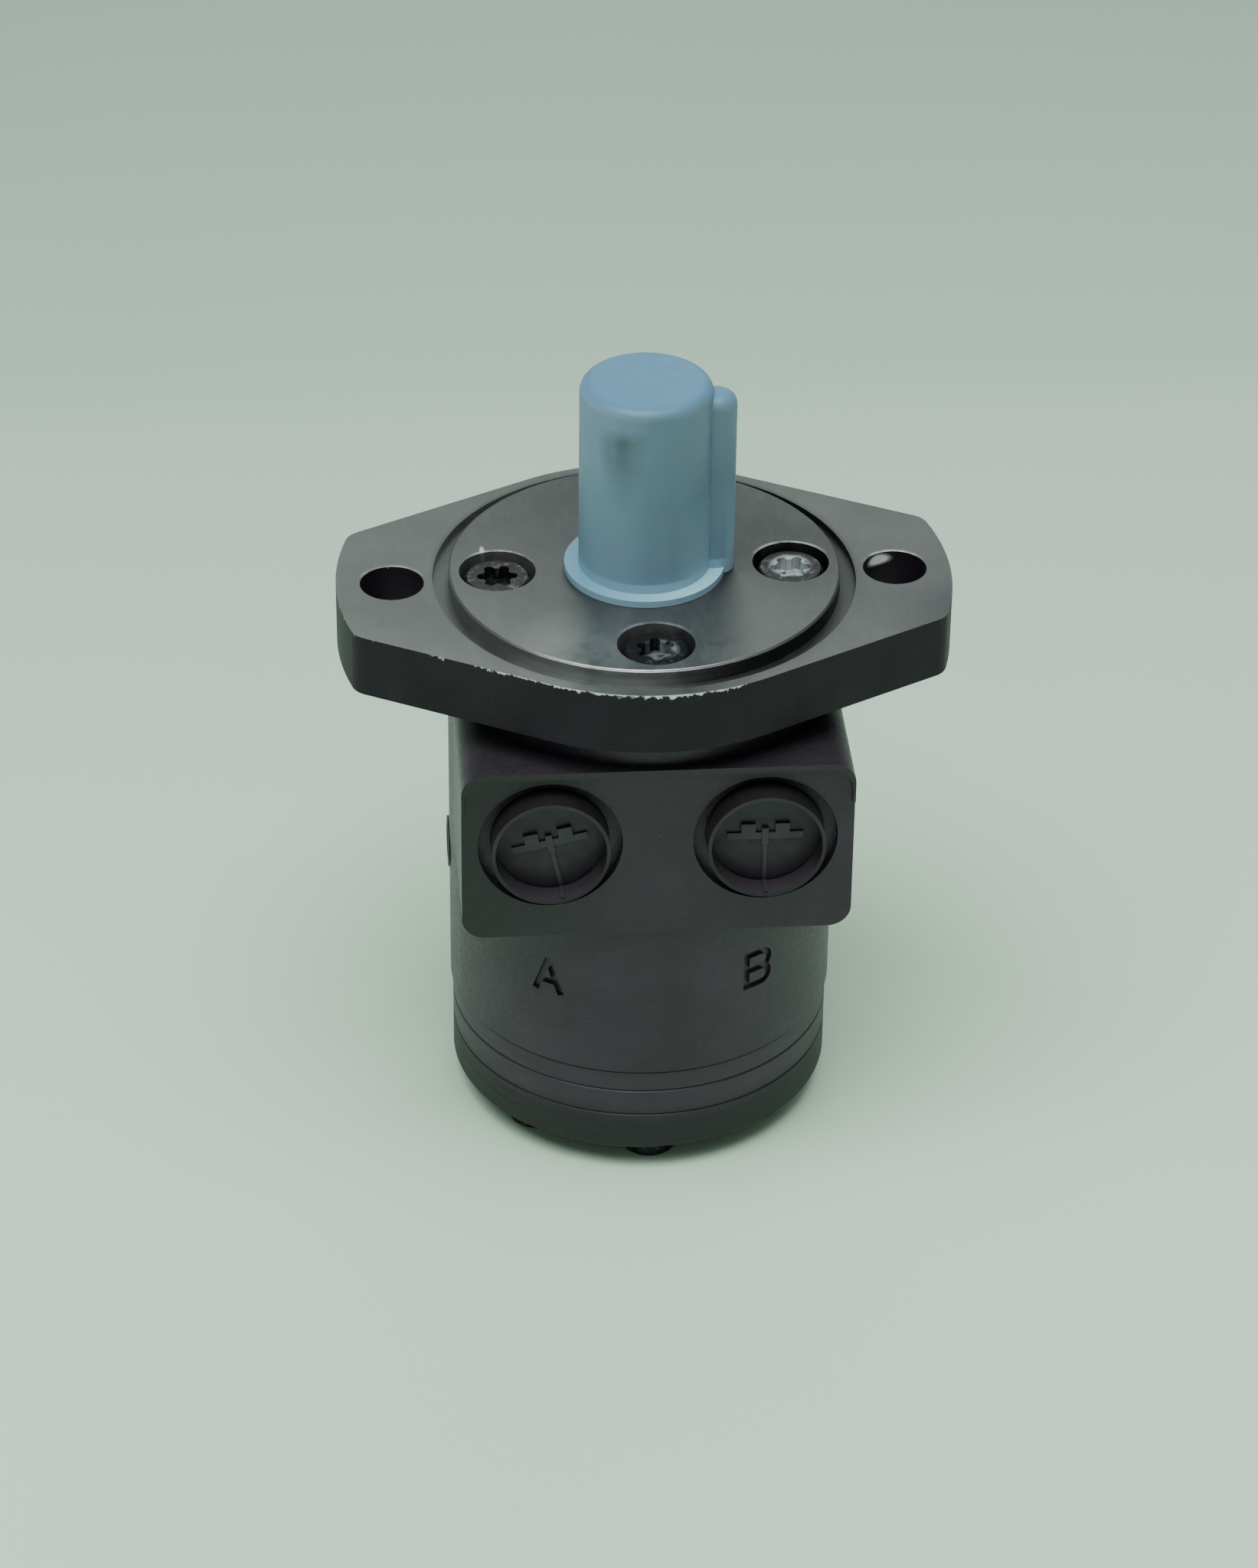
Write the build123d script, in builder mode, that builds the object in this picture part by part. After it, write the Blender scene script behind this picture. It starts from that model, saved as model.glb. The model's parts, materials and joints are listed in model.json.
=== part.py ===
from build123d import *
import math
import os

os.makedirs("parts", exist_ok=True)

# Spool-valve orbital hydraulic motor with a two-bolt flange, in millimetres.
# Origin: shaft axis at the flange's mounting face. +Z runs out along the shaft, -Y faces the ports.

# ---------------------------------------------------------------- driving dimensions
running = 0.03  # radial clearance of shafts and sliding parts

flange_t = 13.8
flange_end_r = 65.0
flange_side_r = 47.3
flange_side_slope = 28.3
flange_corner_r = 5.0
bolt_spacing = 106.4
bolt_hole_r = 6.75
pilot_r = 41.275
pilot_h = 2.2
pilot_groove_w = 3.4
pilot_groove_depth = 1.5

flange_screw_circle_r = 31.0
flange_screw_r = 4.0
flange_screw_head_r = 6.9
flange_screw_head_h = 5.4
flange_counterbore_r = 8.1
flange_screw_sink = 1.2
flange_screw_reach = 16.0
lobe_socket_r = 3.1
lobe_socket_depth = 2.8

housing_r = 41.7
housing_l = 86.0
plate_r = 41.2
spacer_t = 5.1
ring_t = 6.3
end_cap_t = 9.1
joint_chamfer = 0.35

pad_half_w = 41.0
pad_top = -20.8
pad_bottom = -62.0
pad_corner_r = 4.8
pad_lip_h = 1.4
pad_lip = 1.0
pad_face = 42.4
port_x = 22.5
port_z = -39.1
port_r = 12.4
port_depth = 15.5
spotface_r = 15.15
spotface_depth = 2.6
plug_l = 14.5
plug_proud = 3.7
plug_cup_depth = 5.0
plug_wall = 0.8
plug_bar_h = 0.5
plug_pad_h = 0.8
boss_r = 5.6
boss_reach = 4.3
drain_plug_r = 4.0
drain_plug_seat = 9.0
drain_r = 1.5
drain_l = 27.0
letter_z = -77.5
letter_h = 9.4
letter_w = 7.4
letter_stroke = 1.5
letter_depth = 0.9

shaft_r = 12.7
shaft_reach = 44.5
journal_r = 14.0
spool_r = 17.0
spool_bottom = -95.0
key_w = 6.35
key_l = 31.75
key_top_x = 15.55
shaft_thread_r = 3.4
shaft_thread_depth = 16.0

lobes = 7
teeth = lobes - 1
eccentricity = 2.4
lobe_circle_r = 29.5
lobe_r = 6.6
star_gap = 0.06
end_screw_circle_r = 30.6
end_screw_r = 3.0
end_screw_head_r = 5.9
end_screw_head_h = 6.0
end_screw_reach = 14.0
washer_t = 0.8
washer_r = 6.3
feed_r = 2.2
feed_circle_r = 25.2

spline_teeth = 12
spline_tip_r = 9.6
spline_depth = 1.5
spline_gap = 0.3
drive_neck_r = 6.4
drive_top = -36.0
drive_head_l = 11.0

cap_r = 13.9
cap_wall = 0.9
cap_top = 46.9
cap_top_round = 2.6
cap_roof = 1.8
cap_foot_r = 16.9
cap_foot_t = 1.5
cap_key_reach = 18.9
cap_key_half_w = 4.25
cap_key_top = 44.0
cap_key_round = 3.0
cap_key_roof = 2.5

# ---------------------------------------------------------------- derived levels
flange_back = -flange_t
housing_bottom = flange_back - housing_l
spacer_bottom = housing_bottom - spacer_t
ring_bottom = spacer_bottom - ring_t
cap_bottom = ring_bottom - end_cap_t
lobe_step = 360 / lobes
end_angles = [-90 + k * lobe_step for k in range(lobes)]
feed_angles = [angle + lobe_step / 2 for angle in end_angles]
race_t = 1.6
needle_r = 0.98
thrust_gap = 2 * needle_r + 0.06
race_r = 23.8
upper_race_top = flange_back + race_t
lower_race_top = flange_back - thrust_gap
spool_top = lower_race_top - race_t
race_pocket_r = 24.2
star_centre = (0, -eccentricity)
star_z = (spacer_bottom + ring_bottom) / 2
valve_z = -64.0
groove_a_z = valve_z + 13.0
groove_b_z = valve_z - 13.0


def turned(profile):
    """Solid of revolution about Z from (radius, height) corners."""
    with BuildPart() as body:
        with BuildSketch(Plane.XZ):
            Polygon(*profile, align=None)
        revolve(axis=Axis.Z)
    return body.part


def spline_outline(tip_r, depth, gap):
    """Face of a shaft with straight-sided spline teeth, grown by gap for the mating hole."""
    half = math.pi * (tip_r - depth / 2) / spline_teeth / 2
    with BuildSketch() as outline:
        Circle(tip_r - depth + gap)
        with PolarLocations(0, spline_teeth):
            with Locations((tip_r - depth / 2 + gap / 2, 0)):
                Rectangle(depth + gap + 2, 2 * (half + gap * 0.6))
        Circle(tip_r + gap, mode=Mode.INTERSECT)
    return outline.sketch


# ---------------------------------------------------------------- mounting flange
side_angle = math.radians(flange_side_slope)
with BuildPart() as mounting_flange:
    with BuildSketch(Plane.XY.offset(flange_back)):
        tip_x = flange_side_r / math.sin(side_angle)
        tip_y = flange_side_r / math.cos(side_angle)
        with BuildLine():
            Polyline((tip_x, 0), (0, tip_y), (-tip_x, 0), (0, -tip_y), close=True)
        make_face()
        fillet(vertices().group_by(Axis.Y)[0] + vertices().group_by(Axis.Y)[-1], flange_side_r)
        Circle(flange_end_r, mode=Mode.INTERSECT)
        far_corners = vertices().filter_by(lambda v: abs(v.X) > flange_end_r - 10)
        fillet(far_corners, flange_corner_r)
    extrude(amount=flange_t)
    with BuildSketch(Plane.XY):
        Circle(pilot_r)
    extrude(amount=pilot_h)
    chamfer(faces().sort_by(Axis.Z)[-1].edges(), 0.4)
    with BuildSketch(Plane.XY):
        Circle(pilot_r + pilot_groove_w)
        Circle(pilot_r, mode=Mode.SUBTRACT)
    extrude(amount=-pilot_groove_depth, mode=Mode.SUBTRACT)
    with Locations(Plane.XY):
        with GridLocations(bolt_spacing, 0, 2, 1):
            Hole(bolt_hole_r)
    with Locations(Plane.XY.offset(pilot_h)):
        with PolarLocations(flange_screw_circle_r, 4):
            CounterBoreHole(
                flange_screw_r + 0.4, flange_counterbore_r, flange_screw_sink + flange_screw_head_h
            )
    # stepped bore: dust seal, land, washer and shaft seal, thrust race
    add(
        turned(
            [
                (0, pilot_h),
                (16.6, pilot_h),
                (16.6, -2.4),
                (14.4, -2.4),
                (14.4, -5.4),
                (20.0, -5.4),
                (20.0, upper_race_top),
                (race_pocket_r, upper_race_top),
                (race_pocket_r, flange_back),
                (0, flange_back),
            ]
        ),
        mode=Mode.SUBTRACT,
    )
mounting_flange.part.label = "mounting_flange"
export_step(mounting_flange.part, "parts/mounting_flange.step")

# ---------------------------------------------------------------- flange screws, six-lobe sockets
flange_head_top = pilot_h - flange_screw_sink
flange_head_bottom = flange_head_top - flange_screw_head_h
with BuildPart() as flange_screws:
    with BuildSketch(Plane.XY.offset(flange_head_bottom)):
        with PolarLocations(flange_screw_circle_r, 4):
            Circle(flange_screw_head_r)
    extrude(amount=flange_screw_head_h)
    chamfer(edges().group_by(Axis.Z)[-1], 0.5)
    with BuildSketch(Plane.XY.offset(flange_head_top)):
        with PolarLocations(flange_screw_circle_r, 4):
            Circle(lobe_socket_r)
            with PolarLocations(lobe_socket_r + 0.1, 6):
                Circle(1.1)
    extrude(amount=-lobe_socket_depth, mode=Mode.SUBTRACT)
    with BuildSketch(Plane.XY.offset(flange_head_bottom)):
        with PolarLocations(flange_screw_circle_r, 4):
            Circle(flange_screw_r - 0.05)
    extrude(amount=flange_back - flange_screw_reach - flange_head_bottom)
flange_screws.part.label = "flange_screws"
export_step(flange_screws.part, "parts/flange_screws.step")

# ---------------------------------------------------------------- seals and washer in the flange bore
with BuildPart() as dust_seal:
    add(
        turned(
            [
                (16.55, 1.9),
                (16.55, -2.4),
                (14.6, -2.4),
                (14.6, -0.6),
                (journal_r + 0.05, 0.2),
                (journal_r + 0.05, 0.7),
                (14.9, 1.9),
            ]
        )
    )
dust_seal.part.label = "dust_seal"
export_step(dust_seal.part, "parts/dust_seal.step")

with BuildPart() as backup_washer:
    add(turned([(14.3, -6.2), (19.9, -6.2), (19.9, -5.4), (14.3, -5.4)]))
backup_washer.part.label = "backup_washer"
export_step(backup_washer.part, "parts/backup_washer.step")

with BuildPart() as shaft_seal:
    add(
        turned(
            [
                (19.95, -6.25),
                (14.3, -6.25),
                (journal_r + 0.05, -7.0),
                (journal_r + 0.05, -7.8),
                (15.6, -9.4),
                (15.6, -11.6),
                (17.6, -11.6),
                (17.6, -8.6),
                (18.4, -8.6),
                (18.4, upper_race_top + 0.05),
                (19.95, upper_race_top + 0.05),
            ]
        )
    )
shaft_seal.part.label = "shaft_seal"
export_step(shaft_seal.part, "parts/shaft_seal.step")

# ---------------------------------------------------------------- thrust bearing
for race_name, race_top in (("thrust_race_upper", upper_race_top), ("thrust_race_lower", lower_race_top)):
    with BuildPart() as race:
        with BuildSketch(Plane.XY.offset(race_top)):
            Circle(race_r)
            Circle(journal_r + 0.3 if race_name.endswith("upper") else journal_r, mode=Mode.SUBTRACT)
        extrude(amount=-race_t)
    race.part.label = race_name
    export_step(race.part, f"parts/{race_name}.step")

needle_z = flange_back - thrust_gap / 2
needle_count = 20
with BuildPart() as thrust_needles:
    with Locations(Plane.XY.offset(needle_z)):
        with PolarLocations(19.0, needle_count):
            Cylinder(needle_r, 6.4, rotation=(0, 90, 0))
thrust_needles.part.label = "thrust_needles"
export_step(thrust_needles.part, "parts/thrust_needles.step")

with BuildPart() as thrust_cage:
    with BuildSketch(Plane.XY.offset(needle_z - 0.6)):
        Circle(23.6)
        Circle(14.5, mode=Mode.SUBTRACT)
        with PolarLocations(19.0, needle_count):
            Rectangle(6.6, 2 * needle_r + 0.2, mode=Mode.SUBTRACT)
    extrude(amount=1.2)
thrust_cage.part.label = "thrust_cage"
export_step(thrust_cage.part, "parts/thrust_cage.step")

# ---------------------------------------------------------------- output shaft and spool in one piece
hollow_r = spline_tip_r + spline_gap + 0.6
with BuildPart() as output_shaft:
    add(
        turned(
            [
                (0, shaft_reach),
                (shaft_r - 1.2, shaft_reach),
                (shaft_r, shaft_reach - 1.2),
                (shaft_r, 2.4),
                (journal_r, 1.0),
                (journal_r, spool_top),
                (spool_r - running, spool_top),
                (spool_r - running, spool_bottom),
                (0, spool_bottom),
            ]
        )
    )
    # hollow for the drive shaft, with its internal spline at the blind end
    with BuildSketch(Plane.XY.offset(spool_bottom)):
        Circle(hollow_r)
    extrude(amount=drive_top - drive_head_l - spool_bottom, mode=Mode.SUBTRACT)
    with BuildSketch(Plane.XY.offset(drive_top - drive_head_l)):
        add(spline_outline(spline_tip_r, spline_depth, spline_gap))
    extrude(amount=drive_head_l + 1, mode=Mode.SUBTRACT)
    # annular grooves for the two ports
    for groove_z in (groove_a_z, groove_b_z):
        with BuildSketch(Plane.XY.offset(groove_z - 3)):
            Circle(spool_r + 1)
            Circle(spool_r - 2.6, mode=Mode.SUBTRACT)
        extrude(amount=6, mode=Mode.SUBTRACT)
    # distributor slots reach the valve windows from the two grooves in turn
    slot_r = spool_r - 1.2
    for slot_z, phase in ((groove_a_z, 0), (groove_b_z, 180 / teeth)):
        slot_l = abs(slot_z - valve_z) + 1.5
        slot_mid = slot_z + math.copysign(slot_l / 2, valve_z - slot_z)
        with Locations(Plane.XY.offset(slot_mid)):
            with PolarLocations(slot_r + 1.0, teeth, start_angle=phase):
                Box(2.0, 3.6, slot_l, mode=Mode.SUBTRACT)
    # keyway and the tapped hole in the shaft's end
    key_top_z = shaft_reach - 4.5
    with Locations((key_top_x - key_w / 2, 0, key_top_z - key_l / 2)):
        Box(key_w, key_w, key_l, mode=Mode.SUBTRACT)
    with Locations(Plane.XY.offset(shaft_reach)):
        Hole(shaft_thread_r, shaft_thread_depth)
output_shaft.part.label = "output_shaft"
export_step(output_shaft.part, "parts/output_shaft.step")

with BuildPart() as shaft_key:
    with Locations((key_top_x - key_w / 2, 0, key_top_z - key_l / 2)):
        Box(key_w, key_w, key_l)
    chamfer(faces().sort_by(Axis.X)[-1].edges(), 0.3)
shaft_key.part.label = "shaft_key"
export_step(shaft_key.part, "parts/shaft_key.step")

# ---------------------------------------------------------------- housing
def letter_face(letter):
    """Block letter for a port, built from straight strokes and half rings."""
    top = letter_h / 2 - letter_stroke / 2
    side = letter_w / 2 - letter_stroke / 2
    with BuildSketch() as face:
        if letter == "A":
            leg_l = math.hypot(side, 2 * top)
            lean = math.degrees(math.atan2(2 * top, side))
            for hand in (-1, 1):
                with Locations((hand * side / 2, 0)):
                    Rectangle(leg_l + letter_stroke / 2, letter_stroke, rotation=-hand * lean)
            with Locations((0, -top / 3)):
                Rectangle(1.3 * side, letter_stroke)
        else:
            bowl_r = letter_h / 4 + letter_stroke / 4
            bowl_y = letter_h / 2 - bowl_r
            bowl_x = letter_w / 2 - bowl_r
            with Locations((bowl_x, bowl_y), (bowl_x, -bowl_y)):
                Circle(bowl_r)
            with Locations((bowl_x, bowl_y), (bowl_x, -bowl_y)):
                Circle(bowl_r - letter_stroke, mode=Mode.SUBTRACT)
            with Locations((bowl_x - bowl_r, 0)):
                Rectangle(2 * bowl_r, 2 * letter_h, mode=Mode.SUBTRACT)
            with Locations((-side, 0)):
                Rectangle(letter_stroke, letter_h)
            rung_l = bowl_x + side
            rung_x = bowl_x - rung_l / 2
            with Locations((rung_x, top), (rung_x, 0), (rung_x, -top)):
                Rectangle(rung_l, letter_stroke)
    return face.sketch


with BuildPart() as housing:
    with BuildSketch(Plane.XY.offset(housing_bottom)):
        Circle(housing_r)
    extrude(amount=housing_l)
    chamfer(edges().group_by(Axis.Z)[0], joint_chamfer)
    # port block with rounded corners, run back to the round body
    block_h = pad_top - pad_bottom
    block_plane = Plane(origin=(0, 0, (pad_top + pad_bottom) / 2), x_dir=(1, 0, 0), z_dir=(0, -1, 0))
    with BuildSketch(block_plane):
        RectangleRounded(2 * pad_half_w, block_h, pad_corner_r)
    extrude(amount=pad_face + pad_lip)
    # machined port face, with a thin cast lip left over it
    with BuildSketch(block_plane.offset(pad_face)):
        with Locations((0, -pad_lip_h)):
            RectangleRounded(2 * pad_half_w - 1.2, block_h, pad_corner_r)
        with Locations((0, -2 * pad_corner_r)):
            Rectangle(2 * pad_half_w + 4, block_h)
    extrude(amount=pad_lip + 1, mode=Mode.SUBTRACT)
    # ports: spotface, bore and the slanted passage into the spool bore
    for side_x, groove_z in ((-port_x, groove_a_z), (port_x, groove_b_z)):
        port_plane = Plane(origin=(side_x, -pad_face, port_z), x_dir=(1, 0, 0), z_dir=(0, -1, 0))
        with Locations(port_plane):
            CounterBoreHole(port_r + 0.05, spotface_r, spotface_depth, port_depth)
        port_floor = Vector(side_x, -pad_face + port_depth, port_z)
        inward = Vector(0, 0, groove_z) - port_floor
        with BuildSketch(Plane(origin=port_floor - inward.normalized() * 2, z_dir=inward)):
            Circle(2.5)
        extrude(amount=inward.length - 8, mode=Mode.SUBTRACT)
    # spool bore and the thrust bearing's pocket
    with Locations(Plane.XY.offset(flange_back)):
        Hole(spool_r + running)
        CounterBoreHole(spool_r, race_pocket_r, flange_back - spool_top + 0.3, 10)
    # tapped holes: flange screws from above, end screws from below
    with Locations(Plane.XY.offset(flange_back)):
        with PolarLocations(flange_screw_circle_r, 4):
            Hole(flange_screw_r, flange_screw_reach + 3)
    with BuildSketch(Plane.XY.offset(housing_bottom)):
        with PolarLocations(end_screw_circle_r, lobes, start_angle=end_angles[0]):
            Circle(end_screw_r)
    extrude(amount=end_screw_reach + 3, mode=Mode.SUBTRACT)
    # feed passages from the gear chambers up to the valve windows
    with BuildSketch(Plane.XY.offset(housing_bottom)):
        with PolarLocations(feed_circle_r, lobes, start_angle=feed_angles[0]):
            Circle(feed_r)
    extrude(amount=valve_z + feed_r - housing_bottom, mode=Mode.SUBTRACT)
    for angle in feed_angles:
        window = Plane.XY.offset(valve_z).rotated((0, 0, angle))
        window_mouth = window.from_local_coords(Vector(spool_r - 2, 0, 0))
        with BuildSketch(Plane(origin=window_mouth, z_dir=window.x_dir)):
            Circle(feed_r - 0.1)
        extrude(amount=feed_circle_r - spool_r + 2, mode=Mode.SUBTRACT)
    # seal grooves in both end faces
    with BuildSketch(Plane.XY.offset(flange_back)):
        Circle(38.0)
        Circle(36.2, mode=Mode.SUBTRACT)
    extrude(amount=-1.3, mode=Mode.SUBTRACT)
    with BuildSketch(Plane.XY.offset(housing_bottom)):
        Circle(37.0)
        Circle(35.2, mode=Mode.SUBTRACT)
    extrude(amount=1.3, mode=Mode.SUBTRACT)
    # side boss with the drain passage's plug
    boss_plane = Plane(origin=(-housing_r + 4, 3.0, -67.8), z_dir=(-1, 0, 0))
    with BuildSketch(boss_plane):
        Circle(boss_r)
    extrude(amount=boss_reach)
    with Locations(boss_plane.offset(boss_reach)):
        CounterBoreHole(drain_r, drain_plug_r, drain_plug_seat, drain_l)
    # cast port letters, sunk into the round body
    for side_x, letter in ((-port_x, "A"), (port_x, "B")):
        letter_y = -math.sqrt(housing_r**2 - side_x**2)
        facing = Vector(side_x, letter_y, 0).normalized()
        level = Vector(-facing.Y, facing.X, 0)
        with BuildSketch(Plane(origin=(side_x, letter_y, letter_z), x_dir=level, z_dir=facing)):
            add(letter_face(letter))
        extrude(amount=-letter_depth, mode=Mode.SUBTRACT)
housing.part.label = "housing"
export_step(housing.part, "parts/housing.step")

plug_face = boss_plane.offset(boss_reach - 0.2)
with BuildPart() as side_plug:
    with BuildSketch(plug_face):
        Circle(drain_plug_r - 0.05)
    extrude(amount=1.0 - drain_plug_seat)
    with BuildSketch(plug_face):
        RegularPolygon(2.4, 6)
    extrude(amount=-3.0, mode=Mode.SUBTRACT)
side_plug.part.label = "side_plug"
export_step(side_plug.part, "parts/side_plug.step")

# ---------------------------------------------------------------- port plugs
for plug_name, side_x, tilt in (("port_plug_a", -port_x, 12.5), ("port_plug_b", port_x, 0)):
    turn = math.radians(tilt)
    mouth = Plane(
        origin=(side_x, -pad_face - plug_proud, port_z),
        x_dir=(math.cos(turn), 0, math.sin(turn)),
        z_dir=(0, -1, 0),
    )
    with BuildPart() as port_plug:
        with BuildSketch(mouth):
            Circle(port_r - 0.02)
        extrude(amount=-plug_l)
        with BuildSketch(mouth):
            Circle(port_r - plug_wall)
        extrude(amount=-plug_cup_depth, mode=Mode.SUBTRACT)
        # cross bar with two blank pads and the thin web under it
        with BuildSketch(mouth.offset(-plug_cup_depth)):
            Rectangle(16.0, 1.6)
            with Locations((0, -port_r / 2)):
                Rectangle(0.9, port_r)
            Circle(port_r - plug_wall, mode=Mode.INTERSECT)
        extrude(amount=plug_bar_h)
        with BuildSketch(mouth.offset(-plug_cup_depth)):
            with Locations((-3.6, 1.8), (3.6, 1.8)):
                Rectangle(3.0, 2.6)
            Rectangle(1.4, 4.0)
        extrude(amount=plug_pad_h)
        # the web carries on along the lower wall to the rim
        with BuildSketch(mouth.offset(-plug_cup_depth)):
            with Locations((0, plug_wall - port_r)):
                Rectangle(0.9, 1.0)
            Circle(port_r - 0.1, mode=Mode.INTERSECT)
        extrude(amount=plug_cup_depth - 0.3)
    port_plug.part.label = plug_name
    export_step(port_plug.part, f"parts/{plug_name}.step")

# ---------------------------------------------------------------- shaft cap
cap_base = pilot_h + 0.1
cap_key_x = cap_key_reach - cap_key_half_w


def key_cover_outline(shrink):
    """Outline of the cap's cover over the key, straight-sided with a half-round outer side."""
    half_w = cap_key_half_w - shrink
    with BuildSketch() as outline:
        with Locations((cap_key_x, 0)):
            Circle(half_w)
        with Locations((cap_key_x / 2, 0)):
            Rectangle(cap_key_x, 2 * half_w)
    return outline.sketch


with BuildPart() as shaft_cap:
    with BuildSketch(Plane.XY.offset(cap_base)):
        add(key_cover_outline(0))
    extrude(amount=cap_key_top - cap_base)
    fillet(edges().group_by(Axis.Z)[-1].filter_by(lambda e: e.center().X > 1), cap_key_round)
    with BuildSketch(Plane.XY.offset(cap_base)):
        Circle(cap_r)
    extrude(amount=cap_top - cap_base)
    fillet(edges().group_by(Axis.Z)[-1], cap_top_round)
    with BuildSketch(Plane.XY.offset(cap_base)):
        Circle(cap_foot_r)
    extrude(amount=cap_foot_t)
    with BuildSketch(Plane.XY.offset(cap_base)):
        Circle(cap_r - cap_wall)
    extrude(amount=cap_top - cap_roof - cap_base, mode=Mode.SUBTRACT)
    with BuildSketch(Plane.XY.offset(cap_base)):
        add(key_cover_outline(cap_wall))
    extrude(amount=cap_key_top - cap_key_roof - cap_base, mode=Mode.SUBTRACT)
    with BuildSketch(Plane.XY.offset(cap_base)):
        Circle(journal_r + 0.3)
    extrude(amount=0.6, mode=Mode.SUBTRACT)
shaft_cap.part.label = "shaft_cap"
export_step(shaft_cap.part, "parts/shaft_cap.step")

# ---------------------------------------------------------------- face seals of the stack
for seal_name, centre_r, seal_z in (
    ("flange_seal", 37.1, flange_back - 0.65),
    ("housing_seal", 36.1, housing_bottom + 0.65),
    ("ring_seal", 36.1, spacer_bottom - 0.65),
    ("end_cap_seal", 36.1, ring_bottom + 0.65),
):
    with BuildPart() as face_seal:
        with Locations((0, 0, seal_z)):
            Torus(centre_r, 0.64)
    face_seal.part.label = seal_name
    export_step(face_seal.part, f"parts/{seal_name}.step")

# ---------------------------------------------------------------- spacer plate
def rim_edges(level):
    """Outer rim edges at a level of the plate that is being built."""
    return edges().filter_by(GeomType.CIRCLE).filter_by(
        lambda e: abs(e.radius - plate_r) < 0.01 and abs(e.center().Z - level) < 0.01
    )


with BuildPart() as spacer_plate:
    with BuildSketch(Plane.XY.offset(spacer_bottom)):
        Circle(plate_r)
        Circle(13.0, mode=Mode.SUBTRACT)
        with PolarLocations(end_screw_circle_r, lobes, start_angle=end_angles[0]):
            Circle(end_screw_r + 0.2, mode=Mode.SUBTRACT)
        with PolarLocations(feed_circle_r, lobes, start_angle=feed_angles[0]):
            Circle(feed_r, mode=Mode.SUBTRACT)
    extrude(amount=spacer_t)
    chamfer(rim_edges(spacer_bottom) + rim_edges(housing_bottom), joint_chamfer)
spacer_plate.part.label = "spacer_plate"
export_step(spacer_plate.part, "parts/spacer_plate.step")

# ---------------------------------------------------------------- gear ring with fixed lobes
cavity_r = lobe_circle_r - lobe_r + 2 * eccentricity + 0.1
with BuildPart() as gerotor_ring:
    with BuildSketch(Plane.XY.offset(ring_bottom)):
        Circle(plate_r)
        Circle(cavity_r, mode=Mode.SUBTRACT)
        with PolarLocations(lobe_circle_r, lobes, start_angle=end_angles[0]):
            Circle(lobe_r)
        with PolarLocations(end_screw_circle_r, lobes, start_angle=end_angles[0]):
            Circle(end_screw_r + 0.2, mode=Mode.SUBTRACT)
    extrude(amount=ring_t)
    chamfer(rim_edges(spacer_bottom) + rim_edges(ring_bottom), joint_chamfer)
    for face_z, depth in ((spacer_bottom, -1.3), (ring_bottom, 1.3)):
        with BuildSketch(Plane.XY.offset(face_z)):
            Circle(37.0)
            Circle(35.2, mode=Mode.SUBTRACT)
        extrude(amount=depth, mode=Mode.SUBTRACT)
gerotor_ring.part.label = "gerotor_ring"
export_step(gerotor_ring.part, "parts/gerotor_ring.step")


# ---------------------------------------------------------------- star gear
def star_point(t):
    """Point of the curve that stays in touch with all the ring's lobes as the star orbits."""
    reach = lobe_r + star_gap
    lean = math.atan2(
        math.sin((1 - lobes) * t), lobe_circle_r / (eccentricity * lobes) - math.cos((1 - lobes) * t)
    )
    x = lobe_circle_r * math.cos(t) - reach * math.cos(t + lean) - eccentricity * math.cos(lobes * t)
    y = -lobe_circle_r * math.sin(t) + reach * math.sin(t + lean) + eccentricity * math.sin(lobes * t)
    return (x, y)


star_samples = 14 * teeth
star_plane = Plane(
    origin=(*star_centre, ring_bottom + running), x_dir=(0, -1, 0), z_dir=(0, 0, 1)
)
with BuildPart() as gerotor_star:
    with BuildSketch(star_plane):
        with BuildLine():
            Spline(*[star_point(2 * math.pi * k / star_samples) for k in range(star_samples)], periodic=True)
        make_face()
        add(spline_outline(spline_tip_r, spline_depth, spline_gap), mode=Mode.SUBTRACT)
    extrude(amount=ring_t - 2 * running)
gerotor_star.part.label = "gerotor_star"
export_step(gerotor_star.part, "parts/gerotor_star.step")

# ---------------------------------------------------------------- drive shaft, leaning from star to spool
upper_centre = Vector(0, 0, drive_top - drive_head_l / 2)
lower_centre = Vector(*star_centre, star_z)
lean_axis = (upper_centre - lower_centre).normalized()
drive_plane = Plane(origin=lower_centre, x_dir=(0, -1, 0), z_dir=lean_axis)
drive_span = (upper_centre - lower_centre).length
drive_low = -ring_t / 2 + 0.4
with BuildPart() as drive_shaft:
    with BuildSketch(drive_plane.offset(drive_low)):
        Circle(drive_neck_r)
    extrude(amount=drive_span - drive_low + drive_head_l / 2 - 0.6)
    upper_start = drive_span - drive_head_l / 2 + 0.4
    for head_start, head_l in ((drive_low, ring_t - 0.8), (upper_start, drive_head_l - 1.0)):
        with BuildSketch(drive_plane.offset(head_start)):
            add(spline_outline(spline_tip_r, spline_depth, 0))
        extrude(amount=head_l)
drive_shaft.part.label = "drive_shaft"
export_step(drive_shaft.part, "parts/drive_shaft.step")

spacer_disc_r = 7.0
disc_t = 2.2
with BuildPart() as drive_spacer:
    with BuildSketch(Plane.XY.offset(ring_bottom - 0.2)):
        with Locations(star_centre):
            Circle(spacer_disc_r)
    extrude(amount=-disc_t)
drive_spacer.part.label = "drive_spacer"
export_step(drive_spacer.part, "parts/drive_spacer.step")

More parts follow.
